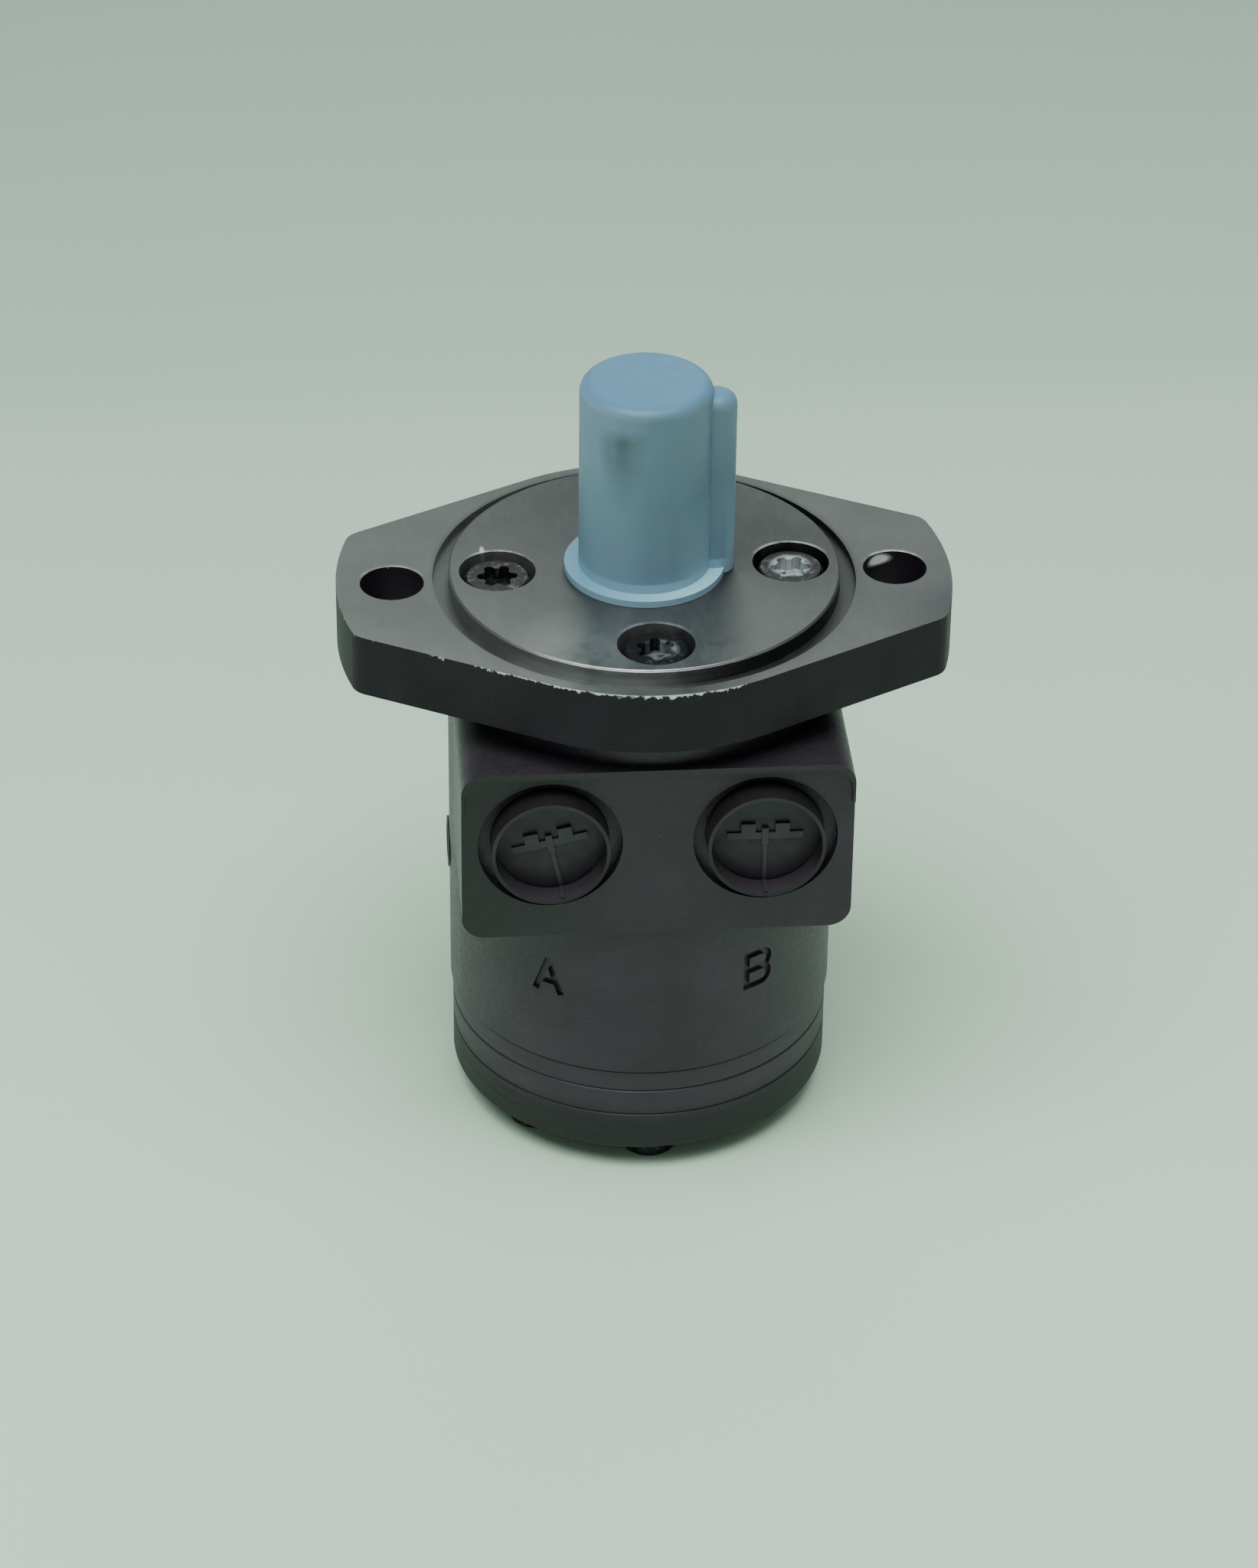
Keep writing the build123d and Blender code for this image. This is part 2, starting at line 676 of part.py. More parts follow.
# ---------------------------------------------------------------- end cap, its screws and washers
with BuildPart() as end_cap:
    with BuildSketch(Plane.XY.offset(cap_bottom)):
        Circle(plate_r)
    extrude(amount=end_cap_t)
    fillet(rim_edges(cap_bottom), 0.7)
    chamfer(rim_edges(ring_bottom), joint_chamfer)
    with BuildSketch(Plane.XY.offset(ring_bottom)):
        Circle(spacer_disc_r + eccentricity + 0.5)
    extrude(amount=-disc_t - 0.4, mode=Mode.SUBTRACT)
    with BuildSketch(Plane.XY.offset(cap_bottom)):
        with PolarLocations(end_screw_circle_r, lobes, start_angle=end_angles[0]):
            Circle(end_screw_r + 0.2)
    extrude(amount=end_cap_t, mode=Mode.SUBTRACT)
    with BuildSketch(Plane.XY.offset(cap_bottom)):
        with PolarLocations(end_screw_circle_r, lobes, start_angle=end_angles[0]):
            Circle(washer_r + 0.1)
    extrude(amount=washer_t, mode=Mode.SUBTRACT)
end_cap.part.label = "end_cap"
export_step(end_cap.part, "parts/end_cap.step")

with BuildPart() as seal_washers:
    with BuildSketch(Plane.XY.offset(cap_bottom)):
        with PolarLocations(end_screw_circle_r, lobes, start_angle=end_angles[0]):
            Circle(washer_r)
            Circle(end_screw_r + 0.1, mode=Mode.SUBTRACT)
    extrude(amount=washer_t)
seal_washers.part.label = "seal_washers"
export_step(seal_washers.part, "parts/seal_washers.step")

with BuildPart() as end_cap_screws:
    with BuildSketch(Plane.XY.offset(cap_bottom)):
        with PolarLocations(end_screw_circle_r, lobes, start_angle=end_angles[0]):
            Circle(end_screw_head_r)
    extrude(amount=-end_screw_head_h)
    chamfer(edges().group_by(Axis.Z)[0], 0.4)
    with BuildSketch(Plane.XY.offset(cap_bottom)):
        with PolarLocations(end_screw_circle_r, lobes, start_angle=end_angles[0]):
            Circle(end_screw_r - 0.05)
    extrude(amount=housing_bottom + end_screw_reach - cap_bottom)
    with BuildSketch(Plane.XY.offset(cap_bottom - end_screw_head_h)):
        with PolarLocations(end_screw_circle_r, lobes, start_angle=end_angles[0]):
            RegularPolygon(2.89, 6)
    extrude(amount=3.2, mode=Mode.SUBTRACT)
end_cap_screws.part.label = "end_cap_screws"
export_step(end_cap_screws.part, "parts/end_cap_screws.step")
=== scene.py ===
import bpy
import json
import math
from mathutils import Matrix, Vector


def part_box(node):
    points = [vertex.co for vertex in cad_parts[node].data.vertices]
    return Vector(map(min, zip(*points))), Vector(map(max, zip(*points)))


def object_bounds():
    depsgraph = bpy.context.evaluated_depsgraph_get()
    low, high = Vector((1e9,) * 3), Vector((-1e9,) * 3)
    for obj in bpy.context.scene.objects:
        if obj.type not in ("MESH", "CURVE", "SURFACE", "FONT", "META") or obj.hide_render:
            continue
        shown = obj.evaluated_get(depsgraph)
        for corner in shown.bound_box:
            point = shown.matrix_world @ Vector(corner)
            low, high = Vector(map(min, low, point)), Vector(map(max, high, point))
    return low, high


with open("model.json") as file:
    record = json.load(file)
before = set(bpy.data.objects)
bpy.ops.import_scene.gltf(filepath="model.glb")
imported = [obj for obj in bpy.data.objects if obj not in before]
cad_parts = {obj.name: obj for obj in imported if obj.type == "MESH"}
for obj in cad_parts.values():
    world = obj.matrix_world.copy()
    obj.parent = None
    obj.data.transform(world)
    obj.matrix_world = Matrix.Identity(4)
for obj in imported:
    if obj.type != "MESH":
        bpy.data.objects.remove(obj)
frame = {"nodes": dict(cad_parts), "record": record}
cad_low, cad_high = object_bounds()
nodes = frame["nodes"]
MM = 0.001
X, Y, Z = 0, 1, 2

# ---------------------------------------------------------------- places, read from the frame
ground_z = cad_low[Z]
pad_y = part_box("housing")[0][Y]
pilot_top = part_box("mounting_flange")[1][Z]
cap_low, cap_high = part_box("shaft_cap")
plug_low, plug_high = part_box("port_plug_b")
port_x = (plug_low[X] + plug_high[X]) / 2
port_z = (plug_low[Z] + plug_high[Z]) / 2
dish_y = plug_low[Y] + 5.0 * MM  # the bottom of a plug's cup

# sizes of the CAD that the materials follow
PILOT_R = 41.275 * MM
BOLT_X = 53.2 * MM
BOLT_HOLE_R = 6.75 * MM
SCREW_CIRCLE_R = 31.0 * MM
COUNTERBORE_R = 8.1 * MM

# ---------------------------------------------------------------- colours, linear
# a pair holds the two ends of a mottle
SIDE_PAINT = (0.0180, 0.0068, 0.0210), (0.0295, 0.0142, 0.0330)
TOP_PAINT = (0.0165, 0.0135, 0.0185), (0.0270, 0.0235, 0.0295)
FLANGE_PAINT = (0.0068, 0.0036, 0.0085), (0.0130, 0.0085, 0.0150)
# painted shade for the port face
PAD_PAINTED_SHADE = (0.004, 0.002, 0.005)
PAINT_SPECK = (0.08, 0.078, 0.078)
# painted shade low on the end cap
END_CAP_PAINTED_SHADE = (0.004, 0.0035, 0.005)

IRON = (0.058, 0.065, 0.066), (0.108, 0.118, 0.119)
# bright iron, also the colour of the painted sheen and highlights
IRON_BRIGHT = (0.49, 0.52, 0.50)
# grime on the pilot's wall, and painted shade in its groove
GRIME_AND_SHADE = (0.045, 0.046, 0.047)
SMEAR = (0.055, 0.072, 0.076)
STAIN = (0.06, 0.06, 0.06)
# painted highlight on the holes' rims
RIM_HIGHLIGHT = (0.66, 0.67, 0.63)
CHIPPED = (0.80, 0.80, 0.77)
BURR = (0.70, 0.72, 0.70)
GLINT = (0.80, 0.82, 0.82)

CAP_SIDE = (0.104, 0.186, 0.252), (0.120, 0.209, 0.279)
# painted light on the faces turned to the left
CAP_SIDE_LIT_LEFT = (0.162, 0.288, 0.388), (0.180, 0.312, 0.416)
# painted light: the colour for faces looking up
CAP_TOP = (0.068, 0.206, 0.328), (0.080, 0.226, 0.352)
# painted glow
CAP_GLOW = (0.23, 0.39, 0.50)
# painted light on the foot, at its left and right ends
CAP_FOOT_GLOW_LEFT = (0.122, 0.312, 0.415)
CAP_FOOT_GLOW_RIGHT = (0.290, 0.560, 0.650)
CAP_MARK = (0.046, 0.080, 0.082)
CAP_SCUFF = (0.28, 0.45, 0.54)

PLUG = (0.0175, 0.0120, 0.0200), (0.0280, 0.0205, 0.0310)
PLUG_DUST = (0.10, 0.10, 0.10)
# painted highlight on the plugs' blank pads
PLUG_PAD_HIGHLIGHT = (0.075, 0.070, 0.078)
# painted light on the cups' lower inside wall
PLUG_LOWER_WALL_LIT = (0.040, 0.036, 0.043)
# painted shade on the plugs
PLUG_PAINTED_SHADE = (0.002, 0.002, 0.002)

SCREW = (0.022, 0.022, 0.025), (0.17, 0.17, 0.165)
# painted glint in two of the screw sockets
SOCKET_GLINT = (0.40, 0.45, 0.45)
STEEL = (0.40, 0.40, 0.39), (0.58, 0.57, 0.55)
RUBBER = (0.014, 0.014, 0.014), (0.028, 0.027, 0.026)
COPPER = (0.45, 0.20, 0.11), (0.62, 0.33, 0.20)

PAPER_NEAR = (0.592, 0.822, 0.626), (0.612, 0.842, 0.646)
PAPER_FAR = (0.338, 0.464, 0.380), (0.356, 0.482, 0.398)
PAPER_WALL = (0.74, 0.80, 0.77)
SKY = (0.84, 0.88, 0.87)
LAMP = (0.99, 1.0, 1.0)
CARD = (0.98, 1.0, 1.0)


# ---------------------------------------------------------------- node helpers
class Shader:
    """A material's node tree, built one node at a time."""

    # most of a noise's values lie between these two
    NOISE_LOW, NOISE_HIGH = 0.3, 0.7

    def __init__(self, name):
        self.material = bpy.data.materials.new(name)
        self.material.use_nodes = True
        self.tree = self.material.node_tree
        self.bsdf = self.tree.nodes["Principled BSDF"]
        self.place = self.tree.nodes.new("ShaderNodeTexCoord").outputs["Object"]
        self.normal_dir = self.tree.nodes.new("ShaderNodeNewGeometry").outputs["Normal"]

    def link(self, source, target):
        self.tree.links.new(source, target)

    def _set(self, socket, value):
        if isinstance(value, bpy.types.NodeSocket):
            self.link(value, socket)
        else:
            socket.default_value = value

    def _set_colour(self, socket, colour):
        is_socket = isinstance(colour, bpy.types.NodeSocket)
        self._set(socket, colour if is_socket else (*colour, 1.0))

    def noise(self, scale, detail=4.0, rough=0.6, stretch=None):
        node = self.tree.nodes.new("ShaderNodeTexNoise")
        node.inputs["Scale"].default_value = scale
        node.inputs["Detail"].default_value = detail
        node.inputs["Roughness"].default_value = rough
        source = self.place
        if stretch:
            mapping = self.tree.nodes.new("ShaderNodeMapping")
            mapping.inputs["Scale"].default_value = stretch
            self.link(source, mapping.inputs["Vector"])
            source = mapping.outputs["Vector"]
        self.link(source, node.inputs["Vector"])
        return node.outputs["Fac"]

    def rings(self, scale, distortion):
        """Fine turning marks round the Z axis."""
        node = self.tree.nodes.new("ShaderNodeTexWave")
        node.wave_type = "RINGS"
        node.rings_direction = "Z"
        node.inputs["Scale"].default_value = scale
        node.inputs["Distortion"].default_value = distortion
        node.inputs["Detail"].default_value = 2.0
        self.link(self.place, node.inputs["Vector"])
        return node.outputs["Fac"]

    def ramp(self, value, low, high, start=0.0, end=1.0):
        """value mapped from low..high to start..end, held beyond both ends."""
        node = self.tree.nodes.new("ShaderNodeMapRange")
        node.inputs["From Min"].default_value = low
        node.inputs["From Max"].default_value = high
        node.inputs["To Min"].default_value = start
        node.inputs["To Max"].default_value = end
        self.link(value, node.inputs["Value"])
        return node.outputs["Result"]

    def spread(self, noise, start=0.0, end=1.0):
        """A noise's usual range mapped to start..end."""
        return self.ramp(noise, self.NOISE_LOW, self.NOISE_HIGH, start, end)

    def fade(self, mask, start, end=0.0):
        """start where mask is 0 and end where it is 1."""
        return self.ramp(mask, 0, 1, start, end)

    def maths(self, operation, a, b=0.0):
        node = self.tree.nodes.new("ShaderNodeMath")
        node.operation = operation
        self._set(node.inputs[0], a)
        self._set(node.inputs[1], b)
        return node.outputs[0]

    def plus(self, a, b):
        return self.maths("ADD", a, b)

    def minus(self, a, b):
        return self.maths("SUBTRACT", a, b)

    def times(self, a, b):
        return self.maths("MULTIPLY", a, b)

    def most(self, a, b):
        return self.maths("MAXIMUM", a, b)

    def absolute(self, value):
        return self.maths("ABSOLUTE", value)

    def hypot(self, a, b):
        return self.maths("SQRT", self.plus(self.times(a, a), self.times(b, b)))

    def part_of(self, vector, axis):
        node = self.tree.nodes.new("ShaderNodeSeparateXYZ")
        self.link(vector, node.inputs[0])
        return node.outputs[axis]

    def _vector_maths(self, operation, a, b=None):
        node = self.tree.nodes.new("ShaderNodeVectorMath")
        node.operation = operation
        self.link(a, node.inputs[0])
        if b is not None:
            node.inputs[1].default_value = b
        return node.outputs

    def distance(self, point, scale=(1, 1, 1)):
        """Distance of the surface point from a place, each axis weighted by scale."""
        away = self._vector_maths("SUBTRACT", self.place, point)[0]
        weighed = self._vector_maths("MULTIPLY", away, scale)[0]
        return self._vector_maths("LENGTH", weighed)["Value"]

    def mix(self, factor, a, b):
        """Colour a where factor is 0 and b where it is 1."""
        node = self.tree.nodes.new("ShaderNodeMix")
        node.data_type = "RGBA"
        self._set(node.inputs["Factor"], factor)
        # the node has sockets for every data type; its two colours are inputs 6 and 7
        self._set_colour(node.inputs[6], a)
        self._set_colour(node.inputs[7], b)
        return node.outputs[2]

    def tint(self, base, colour, mask, share):
        """base with this share of colour where mask is 1."""
        return self.mix(self.times(mask, share), base, colour)

    def bump(self, height, depth, strength, below=None):
        node = self.tree.nodes.new("ShaderNodeBump")
        node.inputs["Strength"].default_value = strength
        node.inputs["Distance"].default_value = depth
        self.link(height, node.inputs["Height"])
        if below:
            self.link(below, node.inputs["Normal"])
        return node.outputs["Normal"]

    def finish(self, colour, roughness, metallic, normal, **constants):
        self._set_colour(self.bsdf.inputs["Base Color"], colour)
        self._set(self.bsdf.inputs["Roughness"], roughness)
        self._set(self.bsdf.inputs["Metallic"], metallic)
        self.link(normal, self.bsdf.inputs["Normal"])
        for key, value in constants.items():
            self.bsdf.inputs[key.replace("_", " ")].default_value = value
        return self.material


# ---------------------------------------------------------------- painted pieces
def black_paint(s, cloud):
    """Mottled black; upright faces lean to violet, against the green light off the floor."""
    looks_up = s.ramp(s.part_of(s.normal_dir, Z), 0.3, 0.9)
    return s.mix(looks_up, s.mix(cloud, *SIDE_PAINT), s.mix(cloud, *TOP_PAINT))


def cast_paint():
    """Black paint over rough cast iron; the machined port face is smoother, and painted shade darkens
    it toward its left.
    """
    s = Shader("cast_paint")
    looks_front = s.ramp(s.part_of(s.normal_dir, Y), -0.97, -0.995)
    at_pad = s.ramp(s.part_of(s.place, Y), pad_y + 3.5 * MM, pad_y + 2.5 * MM)
    on_pad = s.times(looks_front, at_pad)
    cloud = s.noise(70, 5, 0.6)
    grain = s.noise(900, 6, 0.65)
    pits = s.noise(2600, 3, 0.5)
    colour = black_paint(s, s.ramp(cloud, 0.35, 0.68))
    # painted shade: the port face is darkest on its left
    leftward = s.ramp(s.part_of(s.place, X), -10 * MM, -36 * MM, 0.25, 0.90)
    colour = s.mix(s.times(on_pad, leftward), colour, PAD_PAINTED_SHADE)
    specks = s.ramp(s.noise(1500, 2, 0.5), 0.70, 0.76)
    colour = s.tint(colour, PAINT_SPECK, specks, 0.3)
    rough = s.spread(grain, 0.34, 0.50)
    height = s.plus(grain, s.times(pits, 0.45))
    normal = s.bump(s.times(height, s.fade(on_pad, 1.0, 0.35)), 0.22 * MM, 0.55)
    return s.finish(colour, rough, 0.0, normal, Specular_IOR_Level=0.46)


def plate_paint():
    """Black paint over the ground edges of the plates; painted shade darkens it toward the foot,
    where it is duller too.
    """
    s = Shader("plate_paint")
    cloud = s.noise(90, 4, 0.6)
    lines = s.noise(60, 4, 0.7, stretch=(1, 1, 40))
    colour = black_paint(s, s.spread(cloud))
    # painted shade: darker toward the foot
    low = s.ramp(s.part_of(s.place, Z), -108.5 * MM, -113.5 * MM)
    colour = s.tint(colour, END_CAP_PAINTED_SHADE, low, 0.85)
    rough = s.plus(s.spread(lines, 0.38, 0.54), s.fade(low, 0.0, 0.14))
    height = s.plus(s.noise(1400, 4, 0.6), s.times(lines, 0.8))
    return s.finish(colour, rough, 0.0, s.bump(height, 0.10 * MM, 0.5))


# ---------------------------------------------------------------- mounting flange
def hole_rim_highlights(s, x, y):
    """1 on the painted highlights along the edges of the flange's holes, on the side away from the
    ports' face.
    """
    across = s.absolute(x)

    def rim(hole_x, hole_y, hole_r, width):
        dx = s.minus(across, hole_x)
        dy = s.minus(y, hole_y)
        ring = s.ramp(s.hypot(dx, dy), hole_r + width, hole_r + 0.3 * width)
        return s.times(ring, s.ramp(dy, 0.35 * hole_r, 0.95 * hole_r))

    side_screws = rim(SCREW_CIRCLE_R, 0.0, COUNTERBORE_R, 0.9 * MM)
    front_screw = rim(0.0, -SCREW_CIRCLE_R, COUNTERBORE_R, 1.1 * MM)
    bolts = rim(BOLT_X, 0.0, BOLT_HOLE_R, 0.9 * MM)
    return s.most(s.most(side_screws, front_screw), bolts)


def chipped_zone(s, x, y, z):
    """1 above a ragged line on the flange's side, which hangs lowest at the front."""
    chips = s.noise(420, 6, 0.75)
    front = s.times(s.ramp(y, -30 * MM, -44 * MM), s.ramp(x, 24 * MM, 12 * MM))
    held = s.plus(s.fade(front, 0.7 * MM), s.ramp(x, 12 * MM, 30 * MM, 0.0, 0.9 * MM))
    depth = s.minus(s.ramp(chips, 0.42, 0.75, 0.0, 1.6 * MM), held)
    return s.ramp(s.plus(z, depth), -0.1 * MM, 0.1 * MM)


def turned_iron(s, x, y, radius, swirl, stain):
    """Colour of the bare iron, with its painted sheen and its smeared and stained patches."""
    metal = s.mix(s.ramp(s.noise(28, 3, 0.5), 0.30, 0.72), *IRON)
    # painted sheen: brighter toward the front and the left
    front_left_sheen = s.ramp(s.plus(s.times(x, 0.35), y), 5 * MM, -50 * MM)
    metal = s.tint(metal, IRON_BRIGHT, front_left_sheen, 0.30)
    # painted sheen on a patch at the front left
    sheen_patch = s.ramp(s.distance((-12 * MM, -34 * MM, pilot_top)), 20 * MM, 6 * MM)
    metal = s.tint(metal, IRON_BRIGHT, sheen_patch, 0.30)
    past_groove = s.ramp(radius, PILOT_R + 3.5 * MM, PILOT_R + 4.5 * MM)
    rear_land = s.times(past_groove, s.ramp(y, -10 * MM, 15 * MM))
    metal = s.tint(metal, IRON_BRIGHT, rear_land, 0.12)
    metal = s.tint(metal, IRON_BRIGHT, s.ramp(swirl, 0.48, 0.78), 0.10)
    near_smear = s.ramp(s.distance((-12 * MM, -33 * MM, pilot_top)), 14 * MM, 4 * MM)
    smear = s.times(near_smear, s.ramp(stain, 0.45, 0.60))
    metal = s.tint(metal, SMEAR, smear, 0.55)
    return s.tint(metal, STAIN, s.ramp(stain, 0.62, 0.74), 0.45)


def machined_flange():
    """Bare turned iron on top, black paint on the sides, chipped where they meet."""
    s = Shader("machined_flange")
    x, y, z = (s.part_of(s.place, axis) for axis in (X, Y, Z))
    up = s.part_of(s.normal_dir, Z)
    radius = s.hypot(x, y)
    inside = s.ramp(radius, PILOT_R + 4.5 * MM, PILOT_R + 3.8 * MM)
    chipped = chipped_zone(s, x, y, z)
    bare = s.most(s.ramp(up, 0.6, 0.9), s.most(chipped, inside))
    swirl = s.noise(260, 5, 0.7, stretch=(1.0, 0.35, 1.0))
    stain = s.noise(85, 5, 0.6)
    metal = turned_iron(s, x, y, radius, swirl, stain)
    # painted shade in the groove round the pilot, most of it on the right
    in_groove = s.times(s.ramp(z, -0.4 * MM, -1.0 * MM), inside)
    metal = s.mix(s.times(in_groove, s.ramp(x, -4 * MM, 16 * MM, 0.25, 0.60)), metal, GRIME_AND_SHADE)
    # painted highlights on the far rims of the holes
    rim_highlights = s.times(hole_rim_highlights(s, x, y), s.ramp(z, -0.6 * MM, -0.2 * MM))
    rim_highlights = s.times(rim_highlights, s.ramp(s.noise(240, 4, 0.6), 0.35, 0.60))
    metal = s.tint(metal, RIM_HIGHLIGHT, rim_highlights, 0.75)
    # painted highlight on the pilot's wall at the front; grime on it to the right
    wall = s.times(inside, s.ramp(up, 0.45, 0.2))
    metal = s.mix(s.times(wall, s.ramp(x, 14 * MM, -4 * MM, 0.0, 0.55)), metal, IRON_BRIGHT)
    grimy = s.times(s.ramp(x, 2 * MM, 20 * MM, 0.10, 0.90), s.ramp(stain, 0.30, 0.50, 0.65, 1.0))
    metal = s.mix(s.times(wall, grimy), metal, GRIME_AND_SHADE)
    edge = s.times(s.times(chipped, s.ramp(up, 0.9, 0.6)), s.fade(inside, 1.0))
    metal = s.tint(metal, CHIPPED, edge, 0.8)
    # a burr behind the left screw, and a painted glint on the wall of the right bolt hole
    burr_place = (-33.8 * MM, 8.2 * MM, pilot_top - 0.4 * MM)
    burr = s.ramp(s.distance(burr_place, (2.6, 0.7, 0.5)), 1.7 * MM, 1.0 * MM)
    metal = s.tint(metal, BURR, burr, 0.8)
    glint_place = (BOLT_X - 2.8 * MM, 6.0 * MM, -1.6 * MM)
    glint = s.ramp(s.distance(glint_place, (1.0, 1.0, 2.2)), 3.6 * MM, 2.0 * MM)
    metal = s.tint(metal, GLINT, glint, 0.9)
    bare = s.most(bare, s.most(burr, glint))
    paint = s.mix(s.spread(s.noise(80, 4, 0.6)), *FLANGE_PAINT)
    colour = s.mix(bare, paint, metal)
    rough_metal = s.ramp(swirl, 0.3, 0.75, 0.30, 0.46)
    rough = s.plus(s.times(bare, rough_metal), s.fade(bare, 0.56))
    # turning marks on the bare iron, coarser grain under the paint
    marks = s.plus(s.rings(900, 1.5), s.times(s.noise(1800, 4, 0.6), 0.6))
    turned = s.bump(marks, 0.035 * MM, 0.6)
    grain = s.times(s.noise(700, 5, 0.65), s.fade(bare, 1.0, 0.05))
    normal = s.bump(grain, 0.16 * MM, 0.6, below=turned)
    shine = s.times(s.fade(bare, 0.0, 0.9), s.fade(glint, 1.0))
    return s.finish(colour, rough, shine, normal, Specular_IOR_Level=0.24)


# ---------------------------------------------------------------- plastic pieces
def blue_plastic():
    """Soft translucent moulded cap, with a dirty thumb mark high on its front; painted light
    brightens its left side, its foot and near the foot, and sets the colour of its top.
    """
    s = Shader("blue_plastic")
    x, y, z = (s.part_of(s.place, axis) for axis in (X, Y, Z))
    rightward = s.part_of(s.normal_dir, X)
    cloud = s.spread(s.noise(60, 4, 0.6))
    # painted light: faces turned to the left are brighter
    side = s.mix(s.ramp(rightward, 0.0, -0.85), s.mix(cloud, *CAP_SIDE), s.mix(cloud, *CAP_SIDE_LIT_LEFT))
    # painted glow near the foot, most of all on the right, and on the foot
    low = s.ramp(z, cap_low[Z] + 22 * MM, cap_low[Z] + 2 * MM)
    right = s.ramp(rightward, 0.35, 0.85)
    glow = s.plus(s.times(low, 0.30), s.times(right, 0.15))
    glow = s.plus(glow, s.times(s.times(low, right), 0.8))
    glow = s.most(glow, s.ramp(z, cap_low[Z] + 4.0 * MM, cap_low[Z] + 3.4 * MM))
    side = s.mix(s.ramp(glow, 0.0, 1.0), side, CAP_GLOW)
    # painted light: the foot is pale, paler toward the right
    foot = s.mix(s.ramp(x, -14 * MM, 10 * MM), CAP_FOOT_GLOW_LEFT, CAP_FOOT_GLOW_RIGHT)
    on_foot = s.ramp(z, cap_low[Z] + 4.0 * MM, cap_low[Z] + 3.0 * MM)
    top = s.mix(on_foot, s.mix(cloud, *CAP_TOP), foot)
    # painted light: faces looking up get a colour of their own
    colour = s.mix(s.ramp(s.part_of(s.normal_dir, Z), 0.35, 0.95), side, top)
    # the thumb mark: an upright band, ragged at its sides, that fades downward
    ragged = s.times(s.minus(s.noise(160, 4, 0.6), 0.5), 6 * MM)
    across = s.absolute(s.plus(s.plus(x, 5.8 * MM), ragged))
    band = s.ramp(across, 5.4 * MM, 0.6 * MM)
    below_rim = s.ramp(z, cap_high[Z] - 4.5 * MM, cap_high[Z] - 7.5 * MM)
    fading = s.ramp(z, cap_high[Z] - 24 * MM, cap_high[Z] - 8 * MM)
    front = s.ramp(y, -8 * MM, -10 * MM)
    mark = s.times(s.times(band, s.times(below_rim, fading)), front)
    colour = s.tint(colour, CAP_MARK, mark, 0.78)
    scuffs = s.ramp(s.noise(500, 5, 0.7, stretch=(1, 1, 0.25)), 0.62, 0.75)
    colour = s.tint(colour, CAP_SCUFF, scuffs, 0.10)
    height = s.plus(s.noise(650, 4, 0.6), s.times(s.noise(120, 3, 0.5), 0.8))
    rough = s.spread(s.noise(300, 3, 0.5), 0.40, 0.54)
    normal = s.bump(height, 0.10 * MM, 0.35)
    return s.finish(colour, rough, 0.0, normal, Subsurface_Weight=0.2, Subsurface_Scale=2 * MM)


def black_plastic():
    """Transport plugs: painted shade makes them black on top of the cup and low on its rim, a painted
    highlight makes the blank pads paler, and painted light lifts the bottom of the cup's inside wall.
    """
    s = Shader("black_plastic")
    x = s.minus(s.absolute(s.part_of(s.place, X)), port_x)
    y = s.part_of(s.place, Y)
    z = s.minus(s.part_of(s.place, Z), port_z)
    radius = s.hypot(x, z)
    up = s.ramp(s.part_of(s.normal_dir, Z), 0.15, 0.55)
    colour = s.mix(s.spread(s.noise(150, 4, 0.6)), *PLUG)
    colour = s.tint(colour, PLUG_DUST, s.ramp(s.noise(900, 4, 0.7), 0.60, 0.74), 0.2)
    # painted highlight on the raised blank pads
    above_dish = s.ramp(y, dish_y - 0.3 * MM, dish_y - 0.5 * MM)
    pad_highlight = s.times(above_dish, s.ramp(radius, 10.6 * MM, 10.2 * MM))
    colour = s.tint(colour, PLUG_PAD_HIGHLIGHT, pad_highlight, 0.35)
    # painted shade on the up-facing top of each cup and low on its rim; painted light on its
    # up-facing lower inside wall
    top_shade = s.times(up, s.ramp(z, 1 * MM, 4 * MM))
    lower_wall_lit = s.times(up, s.ramp(z, -1 * MM, -4 * MM))
    rim = s.times(s.ramp(radius, 10.9 * MM, 11.3 * MM), s.ramp(z, 2 * MM, -4 * MM))
    rim = s.times(rim, s.fade(up, 0.75))
    colour = s.tint(colour, PLUG_LOWER_WALL_LIT, lower_wall_lit, 0.8)
    colour = s.tint(colour, PLUG_PAINTED_SHADE, s.most(top_shade, rim), 0.9)
    rough = s.plus(s.spread(s.noise(400, 3, 0.5), 0.36, 0.52), s.fade(top_shade, 0.0, 0.30))
    normal = s.bump(s.noise(1100, 4, 0.6), 0.06 * MM, 0.4)
    return s.finish(colour, rough, 0.0, normal, Specular_IOR_Level=0.36)


# ---------------------------------------------------------------- bare metal and rubber
def black_steel():
    """Blackened screws with bright metal rubbed through."""
    s = Shader("black_steel")
    colour = s.mix(s.ramp(s.noise(480, 5, 0.7), 0.55, 0.68), *SCREW)
    patches = s.ramp(s.noise(700, 4, 0.7), 0.30, 0.46)
    # a painted glint in the right socket and in the front one
    right_socket = (SCREW_CIRCLE_R, 0.6 * MM), 4.7 * MM, 0.9
    front_socket = (1.0 * MM, -SCREW_CIRCLE_R), 4.2 * MM, 0.4
    shine = 0.75
    for place, reach, strength in (right_socket, front_socket):
        away = s.distance((*place, pilot_top), (1, 1, 0))
        socket_glint = s.times(s.ramp(away, reach, 0.7 * reach, 0.0, strength), patches)
        colour = s.mix(socket_glint, colour, SOCKET_GLINT)
        shine = s.times(shine, s.fade(socket_glint, 1.0))
    rough = s.spread(s.noise(900, 3, 0.6), 0.28, 0.46)
    return s.finish(colour, rough, shine, s.bump(s.noise(1500, 4, 0.6), 0.05 * MM, 0.5))


